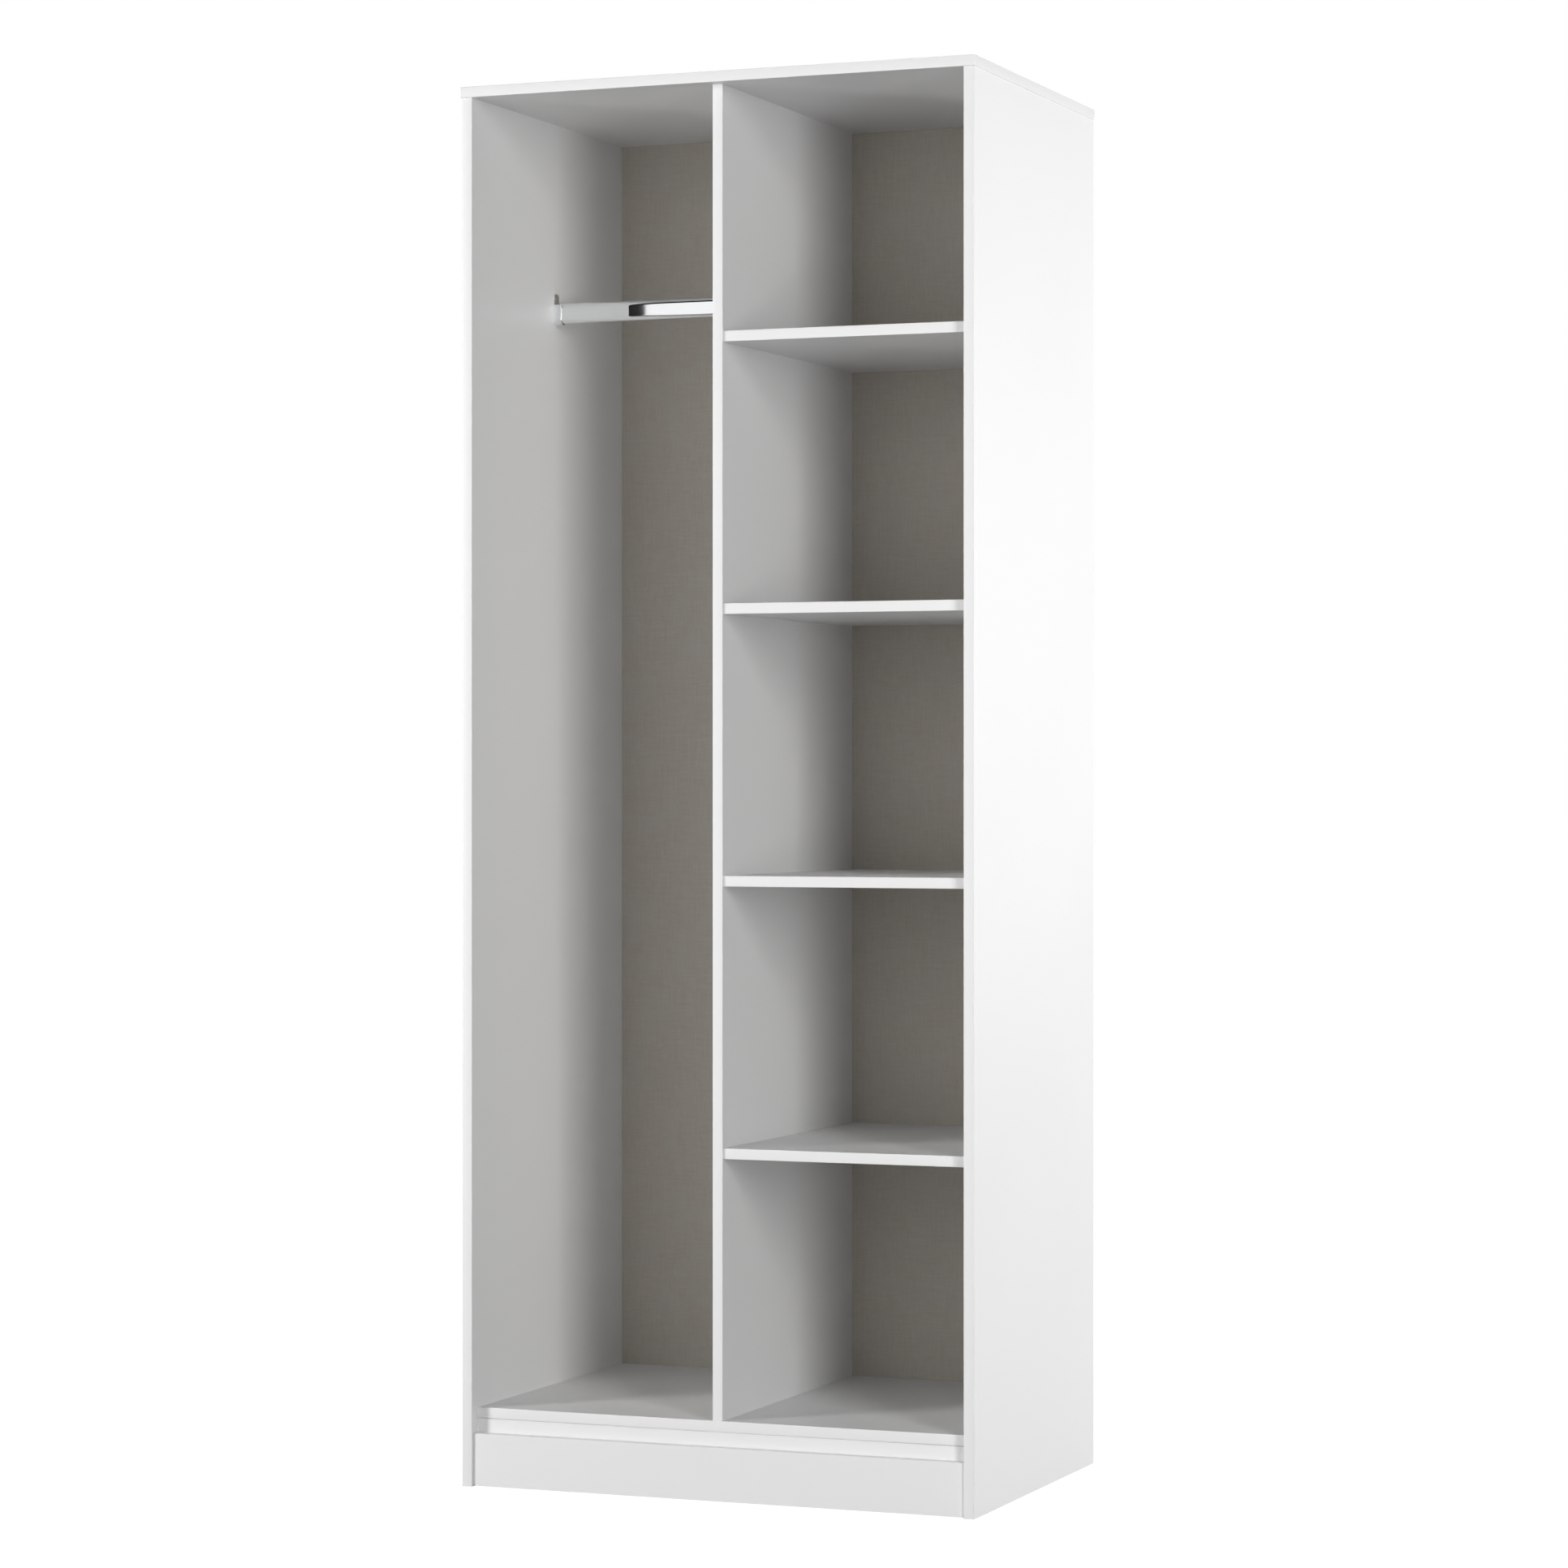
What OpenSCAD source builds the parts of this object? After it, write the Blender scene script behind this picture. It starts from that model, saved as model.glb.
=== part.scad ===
// Open wardrobe carcass: a hanging bay with a lift-out rail on the left and
// five fixed compartments on the right. Millimetres, +Z up, the front faces -Y,
// and the origin is the middle of the footprint at floor level.

/* [Carcass] */
// Height from the floor to the top of the top panel
total_h = 1970; // [1700:1:2200]
// Width across the outsides of the two side panels
carcass_w = 762; // [640:1:1000]
// Depth of a side panel, front edge to rear edge
side_d = 527.5; // [440:0.5:600]
// Thickness of every board
board_t = 15; // [14:0.5:18]
// How far the top panel passes each side panel
top_over_side = 1.5; // [1:0.5:10]
// How far the top panel passes the side panels at the front
top_over_front = 2.5; // [1:0.5:10]
// Thickness of the edging strip on each visible edge
edging_t = 1; // [0.4:0.1:2]

/* [Inside] */
// Height of the bottom panel's upper face
floor_h = 111; // [90:1:160]
// Distance from one shelf's upper face to the next
shelf_pitch = 376; // [300:1:380]
// Setback of the divider and bottom panel behind the side panels' front edges
inner_setback = 19; // [17:0.5:40]
// Setback of the shelves behind the side panels' front edges
shelf_setback = 22; // [19:0.5:60]

/* [Plinth] */
// Height of the plinth board's upper edge
plinth_top = 76; // [60:1:80]
// Setback of the plinth board behind the side panels' front edges
plinth_setback = 4; // [2:0.5:4]
// Gap between the plinth board and each side panel
plinth_gap = 0.3; // [0.1:0.1:1]
// Height of the plinth board's lower edge above the floor
plinth_lift = 2.5; // [2:0.5:6]
// Height of the base rails' lower edges above the floor
base_rail_foot = 6; // [3:1:12]

/* [Back panel] */
// Thickness of the back panel
back_t = 3; // [2.5:0.5:3.5]
// Depth of the rebate that takes the back panel
rebate_d = 4.5; // [4:0.5:6]
// Width of the rebate that takes the back panel
rebate_w = 7; // [5:0.5:9]
// Clearance between the back panel's edges and its rebate
back_gap = 0.5; // [0.2:0.1:1]
// Height of the back panel's lower edge above the floor
back_foot = 16; // [10:1:40]

/* [Hanging rail] */
// Height of the rail's tube section
tube_h = 30; // [25:1:32]
// Width of the rail's tube section
tube_w = 15; // [14:0.5:16]
// Wall of the rail's tube
tube_wall = 1; // [0.8:0.1:1.5]
// Height of the rail's centre line
tube_z = 1678; // [1610:1:1900]
// Distance of the rail's centre line behind the side panels' front edges
tube_back = 282; // [240:1:300]
// Running clearance round the rail in its sockets
tube_play = 0.3; // [0.2:0.05:0.5]

/* [Hidden] */
$fn = 48;
eps = 0.01;

// Heights
glide_t = 1.5;                       // plate of a foot glide, which the sides stand on
side_top = total_h - board_t;        // the top panel lies on the side panels
floor_z = floor_h - board_t;         // underside of the bottom panel
function shelf_top(i) = floor_h + i * shelf_pitch;

// Widths and depths
outer_x = carcass_w / 2;             // outer face of a side panel
inner_x = outer_x - board_t;         // inner face of a side panel
divider_x = board_t / 2;             // each face of the divider
total_d = side_d + top_over_front;
rear_y = total_d / 2;                // rear edges of the sides and the top
top_y = -total_d / 2;                // front edge of the top panel
side_y = top_y + top_over_front;     // front edges of the side panels
inner_y = side_y + inner_setback;    // front edges of the divider and bottom panel
shelf_y = side_y + shelf_setback;    // front edges of the shelves
plinth_y = side_y + plinth_setback;  // front face of the plinth board
sub_rail_y = inner_y;                // front face of the rail behind the plinth
back_y = rear_y - rebate_d;          // inner face of the back panel
kick_y = back_y - board_t;           // front face of the rear kick rail

// Dowels: 8 x 30, a third of the length in the face of one board and the rest
// in the edge of the other
dowel_r = 4;
dowel_in_face = 10;
dowel_in_edge = 20;
dowel_chamfer = 0.8;
glue_gap = 0.05;                     // glue film round a dowel
glue_well = 1;                       // room for glue at each end of a dowel
dowel_ys = [for (k = [-1 : 1]) k * 215];
base_dowel_zs = [30, 60];            // dowels at the ends of the base rails
base_dowel_xs = [for (k = [-1 : 1]) k * 250];
bearer_dowel_ys = [-107.5, 107.5];   // between the divider's dowels

// A joint is [point where the two boards meet, direction into the face-drilled board]
top_side_joints = [for (s = [-1, 1], y = dowel_ys) [[s * (outer_x - divider_x), y, side_top], [0, 0, 1]]];
top_divider_joints = [for (y = dowel_ys) [[0, y, side_top], [0, 0, 1]]];
foot_divider_joints = [for (y = dowel_ys) [[0, y, floor_h], [0, 0, -1]]];
function end_joints(s, y, zs) = [for (z = zs) [[s * inner_x, y, z], [s, 0, 0]]];
function floor_joints(s) = [for (y = dowel_ys) each end_joints(s, y, [floor_h - board_t / 2])];
function shelf_mid(i) = shelf_top(i) - board_t / 2;
function shelf_side_joints(i) = [for (y = dowel_ys) [[inner_x, y, shelf_mid(i)], [1, 0, 0]]];
function shelf_divider_joints(i) = [for (y = dowel_ys) [[divider_x, y, shelf_mid(i)], [-1, 0, 0]]];
function shelf_joints(i) = concat(shelf_side_joints(i), shelf_divider_joints(i));
sub_rail_mid = sub_rail_y + board_t / 2;
kick_mid = kick_y + board_t / 2;
function base_end_joints(s) = concat(end_joints(s, sub_rail_mid, base_dowel_zs),
                                     end_joints(s, kick_mid, base_dowel_zs));
sub_rail_top_joints = [for (x = base_dowel_xs) [[x, sub_rail_mid, floor_z], [0, 0, 1]]];
kick_top_joints = [for (x = base_dowel_xs) [[x, kick_mid, floor_z], [0, 0, 1]]];
bearer_top_joints = [for (y = bearer_dowel_ys) [[0, y, floor_z], [0, 0, 1]]];
bearer_front_joints = [for (z = base_dowel_zs) [[0, sub_rail_y + board_t, z], [0, -1, 0]]];
bearer_rear_joints = [for (z = base_dowel_zs) [[0, kick_y, z], [0, 1, 0]]];

// Screws: [point on the surface, direction into the board, length]
screw_r = 1.75;
screw_head_r = 3.5;
screw_head_h = 2;
screw_play = 0.05;
recess_r = 1.9;                      // cross recess in a screw's head
recess_w = 0.8;
recess_h = 1.2;
plinth_screw_l = 25;
plinth_screw_z = 44;
plinth_screws_at = [for (k = [-3 : 2 : 3]) [[k * 100, sub_rail_y + board_t, plinth_screw_z], [0, -1, 0], plinth_screw_l]];

// Rail and its sockets. In a socket, x runs out from the wall and z = 0 is the
// rail's centre line.
tube_y = side_y + tube_back;
tube_r = tube_w / 2;
tube_end_gap = 1.5;                  // between the rail's end and the socket's plate
socket_plate_t = 2;
socket_out = 13;                     // how far the cup stands out from the wall
socket_wall = 1.6;
socket_top = 13;                     // rim of the cup above the rail's centre line
socket_r = tube_r + tube_play;       // inner radius of the cup
socket_outer_r = socket_r + socket_wall;
tab_w = 17;
tab_top = 29;
tab_r = 5;
tab_screw_z = 22;
cup_screw_z = -2;
socket_screw_l = 12;
cup_drop = tube_h / 2 - tube_r;      // the cup's round bottom is centred this far down
function socket_screws_at(s) =
    [for (z = [tab_screw_z, cup_screw_z])
        [[s < 0 ? -inner_x + socket_plate_t : -divider_x - socket_plate_t, tube_y, tube_z + z],
         [s, 0, 0], socket_screw_l]];

// Pins: [x, z] on the back panel, each driven forwards into the board behind it
pin_r = 0.7;
pin_head_r = 1.6;
pin_head_t = 0.6;
pin_l = 20;
pin_play = 0.02;
side_pin_x = inner_x + (rebate_w - back_gap) / 2;
top_pin_z = side_top + (rebate_w - back_gap) / 2;
side_pin_zs = [for (k = [0 : 9]) 45 + k * 208];
divider_pin_zs = [for (k = [0 : 7]) 205 + k * 225];
cross_pin_xs = [for (k = [-1.5 : 1 : 1.5]) k * 190];
side_pins = [for (s = [-1, 1], z = side_pin_zs) [s * side_pin_x, z]];
divider_pins = [for (z = divider_pin_zs) [0, z]];
top_pins = [for (x = cross_pin_xs) [x, top_pin_z]];
floor_pins = [for (x = cross_pin_xs) [x, floor_h - board_t / 2]];
function shelf_pins(i) = [[(divider_x + inner_x) / 2, shelf_mid(i)]];
pins_at = concat(side_pins, divider_pins, top_pins, floor_pins,
                 [for (i = [1 : 4]) each shelf_pins(i)]);

// Foot glides: a round plate with a nail, two under each side panel
glide_r = 6;
glide_nail_r = 1;
glide_nail_l = 14;
glide_ys = [-200, 200];
glides_at = [for (s = [-1, 1], y = glide_ys) [s * (outer_x - board_t / 2), y]];

strip_gap = 0.05;                    // butt joint between two edging strips
block_leg = 22;                      // legs of a triangular corner block
block_lift = 8;                      // its lower end above the base rails'

// ---- helpers ----

// A box between two opposite corners, and the same box on the right (s = 1) or
// mirrored to the left (s = -1)
module slab(lo, hi) { translate(lo) cube(hi - lo); }
module slab_on(s, lo, hi) { mirror([s < 0 ? 1 : 0, 0, 0]) slab(lo, hi); }

// Turns +Z to one of the six axis directions
function turn(axis) = axis.x != 0 ? [0, 90 * axis.x, 0]
                    : axis.y != 0 ? [-90 * axis.y, 0, 0]
                    : [axis.z < 0 ? 180 : 0, 0, 0];
module aim(at, axis) { translate(at) rotate(turn(axis)) children(); }

// Holes for a list of joints. One hole runs into both boards, so each board
// takes its own share when the same list is cut from both.
module dowel_bores(joints) {
    for (j = joints) aim(j[0], j[1])
        translate([0, 0, -dowel_in_edge - glue_well])
            cylinder(r = dowel_r + glue_gap, h = dowel_in_edge + dowel_in_face + 2 * glue_well);
}

module dowels(joints) {
    for (j = joints) aim(j[0], j[1]) {
        translate([0, 0, -dowel_in_edge]) cylinder(r1 = dowel_r - dowel_chamfer, r2 = dowel_r, h = dowel_chamfer);
        translate([0, 0, dowel_chamfer - dowel_in_edge])
            cylinder(r = dowel_r, h = dowel_in_edge + dowel_in_face - 2 * dowel_chamfer);
        translate([0, 0, dowel_in_face - dowel_chamfer])
            cylinder(r1 = dowel_r, r2 = dowel_r - dowel_chamfer, h = dowel_chamfer);
    }
}

// The outline of a countersunk screw, with play all round it when it is a hole
module screw_form(l, play) {
    translate([0, 0, -eps]) cylinder(r = screw_head_r + play, h = eps);
    cylinder(r1 = screw_head_r + play, r2 = screw_r + play, h = screw_head_h);
    translate([0, 0, screw_head_h]) cylinder(r = screw_r + play, h = l - screw_head_h + play);
}
module screw_bores(screws) { for (s = screws) aim(s[0], s[1]) screw_form(s[2], screw_play); }

module countersunk_screws(screws) {
    for (s = screws) aim(s[0], s[1]) difference() {
        union() {
            cylinder(r1 = screw_head_r, r2 = screw_r, h = screw_head_h);
            translate([0, 0, screw_head_h]) cylinder(r = screw_r, h = s[2] - screw_head_h - screw_r);
            translate([0, 0, s[2] - screw_r]) cylinder(r1 = screw_r, r2 = screw_r / 5, h = screw_r);
        }
        for (a = [0, 90]) rotate(a)
            translate([-recess_r, -recess_w / 2, -eps]) cube([2 * recess_r, recess_w, recess_h]);
    }
}

module pin_bores(pins) {
    for (p = pins) aim([p.x, back_y + back_t + eps, p.y], [0, -1, 0])
        cylinder(r = pin_r + pin_play, h = pin_l + 2 * pin_play);
}

module glide_nail_bores() {
    for (g = glides_at) translate([g.x, g.y, 0]) cylinder(r = glide_nail_r + pin_play, h = glide_t + glide_nail_l + glue_well);
}

// ---- boards ----

module side_board(s) {
    color("white") difference() {
        slab_on(s, [inner_x, side_y + edging_t, glide_t], [outer_x, rear_y, side_top]);
        slab_on(s, [inner_x - eps, back_y, 0], [inner_x + rebate_w, rear_y + eps, side_top + eps]);
        dowel_bores(top_side_joints);
        dowel_bores(floor_joints(s));
        dowel_bores(base_end_joints(s));
        if (s > 0) for (i = [1 : 4]) dowel_bores(shelf_side_joints(i));
        if (s < 0) screw_bores(socket_screws_at(-1));
        pin_bores(side_pins);
        glide_nail_bores();
    }
}
module left_side_panel() { side_board(-1); }
module right_side_panel() { side_board(1); }

module top_panel() {
    half = outer_x + top_over_side - edging_t;
    color("white") difference() {
        slab([-half, top_y + edging_t, side_top], [half, rear_y, total_h]);
        slab([-inner_x - rebate_w, back_y, side_top - eps], [inner_x + rebate_w, rear_y + eps, side_top + rebate_w]);
        dowel_bores(top_side_joints);
        dowel_bores(top_divider_joints);
        pin_bores(top_pins);
    }
}

module centre_divider() {
    color("white") difference() {
        slab([-divider_x, inner_y + edging_t, floor_h], [divider_x, back_y, side_top]);
        dowel_bores(top_divider_joints);
        dowel_bores(foot_divider_joints);
        for (i = [1 : 4]) dowel_bores(shelf_divider_joints(i));
        screw_bores(socket_screws_at(1));
        pin_bores(divider_pins);
    }
}

module bottom_panel() {
    color("white") difference() {
        slab([-inner_x, inner_y + edging_t, floor_z], [inner_x, back_y, floor_h]);
        for (s = [-1, 1]) dowel_bores(floor_joints(s));
        dowel_bores(foot_divider_joints);
        dowel_bores(concat(sub_rail_top_joints, kick_top_joints, bearer_top_joints));
        pin_bores(floor_pins);
    }
}

module shelf(i) {
    color("white") difference() {
        slab([divider_x, shelf_y + edging_t, shelf_top(i) - board_t], [inner_x, back_y, shelf_top(i)]);
        dowel_bores(shelf_joints(i));
        pin_bores(shelf_pins(i));
    }
}
module shelf_1() { shelf(1); }
module shelf_2() { shelf(2); }
module shelf_3() { shelf(3); }
module shelf_4() { shelf(4); }

module back_panel() {
    half = inner_x + rebate_w - back_gap;
    color("tan") difference() {
        slab([-half, back_y, back_foot], [half, back_y + back_t, side_top + rebate_w - back_gap]);
        pin_bores(pins_at);
    }
}

// ---- base ----

module plinth_board() {
    half = inner_x - plinth_gap;
    color("white") difference() {
        slab([-half, plinth_y, plinth_lift], [half, plinth_y + board_t, plinth_top - edging_t]);
        screw_bores(plinth_screws_at);
    }
}

module front_sub_rail() {
    color("white") difference() {
        slab([-inner_x, sub_rail_y, base_rail_foot], [inner_x, sub_rail_y + board_t, floor_z]);
        for (s = [-1, 1]) dowel_bores(base_end_joints(s));
        dowel_bores(sub_rail_top_joints);
        dowel_bores(bearer_front_joints);
        screw_bores(plinth_screws_at);
    }
}

module rear_kick_rail() {
    color("white") difference() {
        slab([-inner_x, kick_y, base_rail_foot], [inner_x, back_y, floor_z]);
        for (s = [-1, 1]) dowel_bores(base_end_joints(s));
        dowel_bores(kick_top_joints);
        dowel_bores(bearer_rear_joints);
    }
}

module centre_bearer() {
    color("white") difference() {
        slab([-divider_x, sub_rail_y + board_t, base_rail_foot], [divider_x, kick_y, floor_z]);
        dowel_bores(concat(bearer_top_joints, bearer_front_joints, bearer_rear_joints));
    }
}

// Triangular blocks glued into the four corners where the base rails meet the sides
module corner_blocks() {
    color("burlywood")
        for (s = [-1, 1], end = [[sub_rail_y + board_t, 1], [kick_y, -1]])
            translate([s * inner_x, end[0], base_rail_foot + block_lift])
                linear_extrude(floor_z - base_rail_foot - block_lift)
                    polygon([[0, 0], [-s * block_leg, 0], [0, end[1] * block_leg]]);
}

// ---- hanging rail ----

// A slot outline along z, with its round ends inside its height
module oval(w, h) {
    for (s = [-1, 1]) translate([0, s * (h - w) / 2]) circle(d = w, $fn = 64);
    square([w, h - w], center = true);
}

module hanging_rail() {
    start = -inner_x + socket_plate_t + tube_end_gap;
    l = -divider_x - socket_plate_t - tube_end_gap - start;
    color("silver") translate([start, tube_y, tube_z]) rotate([90, 0, 90])
        linear_extrude(l) difference() {
            oval(tube_w, tube_h);
            oval(tube_w - 2 * tube_wall, tube_h - 2 * tube_wall);
        }
}

// A U outline, open upwards, whose round bottom is centred cup_drop below the rail
module u_outline(r, top) {
    translate([0, -cup_drop]) circle(r = r, $fn = 64);
    translate([-r, -cup_drop]) square([2 * r, cup_drop + top]);
}

module tab_outline() {
    for (s = [-1, 1]) translate([s * (tab_w / 2 - tab_r), tab_top - tab_r]) circle(r = tab_r);
    translate([-tab_w / 2, 0]) square([tab_w, tab_top - tab_r]);
    translate([-tab_w / 2 + tab_r, 0]) square([tab_w - 2 * tab_r, tab_top]);
}

// The socket on a wall whose face looks along s in x
module rail_socket(s) {
    wall_x = s > 0 ? -inner_x : -divider_x;
    color("silver") difference() {
        translate([wall_x, tube_y, tube_z]) rotate([90, 0, s * 90]) {
            linear_extrude(socket_plate_t) {
                u_outline(socket_outer_r, socket_top);
                tab_outline();
            }
            linear_extrude(socket_out) difference() {
                u_outline(socket_outer_r, socket_top);
                u_outline(socket_r, socket_top + eps);
            }
        }
        screw_bores(socket_screws_at(-s));
    }
}
module left_rail_socket() { rail_socket(1); }
module right_rail_socket() { rail_socket(-1); }

// ---- fixings ----

module socket_screws() { color("silver") countersunk_screws(concat(socket_screws_at(-1), socket_screws_at(1))); }
module plinth_screws() { color("gold") countersunk_screws(plinth_screws_at); }
module top_panel_dowels() { color("wheat") dowels(top_side_joints); }
module bottom_panel_dowels() { color("wheat") for (s = [-1, 1]) dowels(floor_joints(s)); }
module divider_dowels() { color("wheat") dowels(concat(top_divider_joints, foot_divider_joints)); }
module shelf_dowels() { color("wheat") for (i = [1 : 4]) dowels(shelf_joints(i)); }
module base_rail_dowels() {
    color("wheat") {
        for (s = [-1, 1]) dowels(base_end_joints(s));
        dowels(concat(sub_rail_top_joints, kick_top_joints, bearer_top_joints));
        dowels(concat(bearer_front_joints, bearer_rear_joints));
    }
}

module back_panel_pins() {
    color("dimgray") for (p = pins_at) aim([p.x, back_y + back_t, p.y], [0, -1, 0]) {
        translate([0, 0, -pin_head_t]) cylinder(r = pin_head_r, h = pin_head_t, $fn = 24);
        cylinder(r = pin_r, h = pin_l - 2 * pin_r, $fn = 24);
        translate([0, 0, pin_l - 2 * pin_r]) cylinder(r1 = pin_r, r2 = pin_r / 5, h = 2 * pin_r, $fn = 24);
    }
}

module foot_glides() {
    color("dimgray") for (g = glides_at) translate([g.x, g.y, 0]) {
        cylinder(r1 = glide_r - glide_t / 2, r2 = glide_r, h = glide_t / 2);
        translate([0, 0, glide_t / 2]) cylinder(r = glide_r, h = glide_t / 2);
        translate([0, 0, glide_t]) cylinder(r = glide_nail_r, h = glide_nail_l - 2 * glide_nail_r);
        translate([0, 0, glide_t + glide_nail_l - 2 * glide_nail_r])
            cylinder(r1 = glide_nail_r, r2 = glide_nail_r / 5, h = 2 * glide_nail_r);
    }
}

// ---- edging strips ----

module top_panel_edging() {
    half = outer_x + top_over_side;
    color("white") {
        slab([-half, top_y, side_top], [half, top_y + edging_t, total_h]);
        for (s = [-1, 1])
            slab_on(s, [half - edging_t, top_y + edging_t + strip_gap, side_top], [half, rear_y, total_h]);
    }
}

module side_panel_edging() {
    color("white") for (s = [-1, 1])
        slab_on(s, [inner_x, side_y, glide_t], [outer_x, side_y + edging_t, side_top]);
}

module divider_edging() {
    color("white") slab([-divider_x, inner_y, floor_h], [divider_x, inner_y + edging_t, side_top]);
}

module bottom_panel_edging() {
    color("white") slab([-inner_x, inner_y, floor_z], [inner_x, inner_y + edging_t, floor_h]);
}

module shelf_edging() {
    color("white") for (i = [1 : 4])
        slab([divider_x, shelf_y, shelf_top(i) - board_t], [inner_x, shelf_y + edging_t, shelf_top(i)]);
}

module plinth_edging() {
    half = inner_x - plinth_gap;
    color("white") slab([-half, plinth_y, plinth_top - edging_t], [half, plinth_y + board_t, plinth_top]);
}

top_panel();
left_side_panel();
right_side_panel();
centre_divider();
bottom_panel();
shelf_1();
shelf_2();
shelf_3();
shelf_4();
back_panel();
plinth_board();
front_sub_rail();
rear_kick_rail();
centre_bearer();
corner_blocks();
hanging_rail();
left_rail_socket();
right_rail_socket();
socket_screws();
plinth_screws();
top_panel_dowels();
bottom_panel_dowels();
divider_dowels();
shelf_dowels();
base_rail_dowels();
back_panel_pins();
foot_glides();
top_panel_edging();
side_panel_edging();
divider_edging();
bottom_panel_edging();
shelf_edging();
plinth_edging();
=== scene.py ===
"""An open wardrobe with a hanging bay and fixed shelves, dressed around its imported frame.

Metres, +Z up, the open front faces -Y. The frame's nodes give every place and size.
"""

import functools
import logging
import math
from dataclasses import dataclass, field
from enum import Enum
from typing import Any, Iterable, Mapping, Protocol, Sequence

import bmesh
import bpy
from mathutils import Matrix, Vector


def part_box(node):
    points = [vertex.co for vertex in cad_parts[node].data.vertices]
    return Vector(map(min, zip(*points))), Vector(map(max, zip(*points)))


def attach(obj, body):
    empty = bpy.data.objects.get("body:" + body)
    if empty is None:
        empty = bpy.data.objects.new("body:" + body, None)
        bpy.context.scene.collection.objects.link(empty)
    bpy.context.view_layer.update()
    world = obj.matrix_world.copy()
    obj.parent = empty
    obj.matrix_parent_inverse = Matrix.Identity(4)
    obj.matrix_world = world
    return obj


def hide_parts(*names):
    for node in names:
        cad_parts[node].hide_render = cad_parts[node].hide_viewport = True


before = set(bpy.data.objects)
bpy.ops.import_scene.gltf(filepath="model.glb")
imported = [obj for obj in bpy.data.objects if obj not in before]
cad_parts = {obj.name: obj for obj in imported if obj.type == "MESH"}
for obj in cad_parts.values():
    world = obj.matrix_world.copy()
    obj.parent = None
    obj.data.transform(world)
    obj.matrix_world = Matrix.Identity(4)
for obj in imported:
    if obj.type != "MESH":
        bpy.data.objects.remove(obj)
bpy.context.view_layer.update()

log = logging.getLogger("wardrobe")

MM = 0.001
WELD = 0.002 * MM  # corners closer than this are one corner
NEAR = 0.01 * MM  # places closer than this are level
Colour = tuple[float, float, float]
Plug = Any  # a number, a colour, a material or a Link


class Axis(Enum):
    """A direction of the wardrobe's frame, by its place in a vector."""

    X = 0
    Y = 1
    Z = 2

    @property
    def unit(self) -> Vector:
        """The axis as a unit vector."""
        return Vector([1.0 if i == self.value else 0.0 for i in range(3)])


class Body(Enum):
    """The rigid bodies that pieces ride on."""

    CARCASS = "carcass"
    RAIL = "rail"


# ---- node graphs ----


def socket_named(sockets: Iterable[bpy.types.NodeSocket], name: str) -> bpy.types.NodeSocket:
    """Finds a socket by its identifier, or else by its name.

    Args:
        sockets: a node's inputs or outputs.
        name: an identifier such as "A_Color", or a name such as "Scale".

    Returns:
        The first socket that fits.
    """
    known = list(sockets)
    for key in ("identifier", "name"):
        for socket in known:
            if getattr(socket, key) == name:
                return socket
    raise KeyError(f"no socket named {name} among {[s.name for s in known]}")


@dataclass(frozen=True)
class Link:
    """One output of a node. Python's operators on it add Math nodes."""

    graph: "Graph"
    socket: bpy.types.NodeSocket

    def _math(self, operation: str, *values: Plug) -> "Link":
        """Adds a Math node of that operation on the values."""
        return self.graph.math(operation, *values)

    def __add__(self, other: Plug) -> "Link":
        """self + other."""
        return self._math("ADD", self, other)

    __radd__ = __add__

    def __sub__(self, other: Plug) -> "Link":
        """self - other."""
        return self._math("SUBTRACT", self, other)

    def __rsub__(self, other: Plug) -> "Link":
        """other - self."""
        return self._math("SUBTRACT", other, self)

    def __mul__(self, other: Plug) -> "Link":
        """self * other."""
        return self._math("MULTIPLY", self, other)

    __rmul__ = __mul__

    def __lt__(self, other: Plug) -> "Link":
        """1 where self is below other."""
        return self._math("LESS_THAN", self, other)

    def __gt__(self, other: Plug) -> "Link":
        """1 where self is above other."""
        return self._math("GREATER_THAN", self, other)

    def __abs__(self) -> "Link":
        """The size of self."""
        return self._math("ABSOLUTE", self)

    def least(self, other: Plug) -> "Link":
        """The smaller of self and other."""
        return self._math("MINIMUM", self, other)

    def ramp(self, low: float, high: float, to_low: float = 0.0, to_high: float = 1.0) -> "Link":
        """Spreads the range low to high over to_low to to_high, and holds it outside.

        Args:
            low: input at the range's start.
            high: input at the range's end.
            to_low: output at the start.
            to_high: output at the end.

        Returns:
            The spread value.
        """
        return self.graph.make(
            "ShaderNodeMapRange", "Result", {"clamp": True},
            {"Value": self, "From Min": low, "From Max": high, "To Min": to_low, "To Max": to_high})


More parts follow.
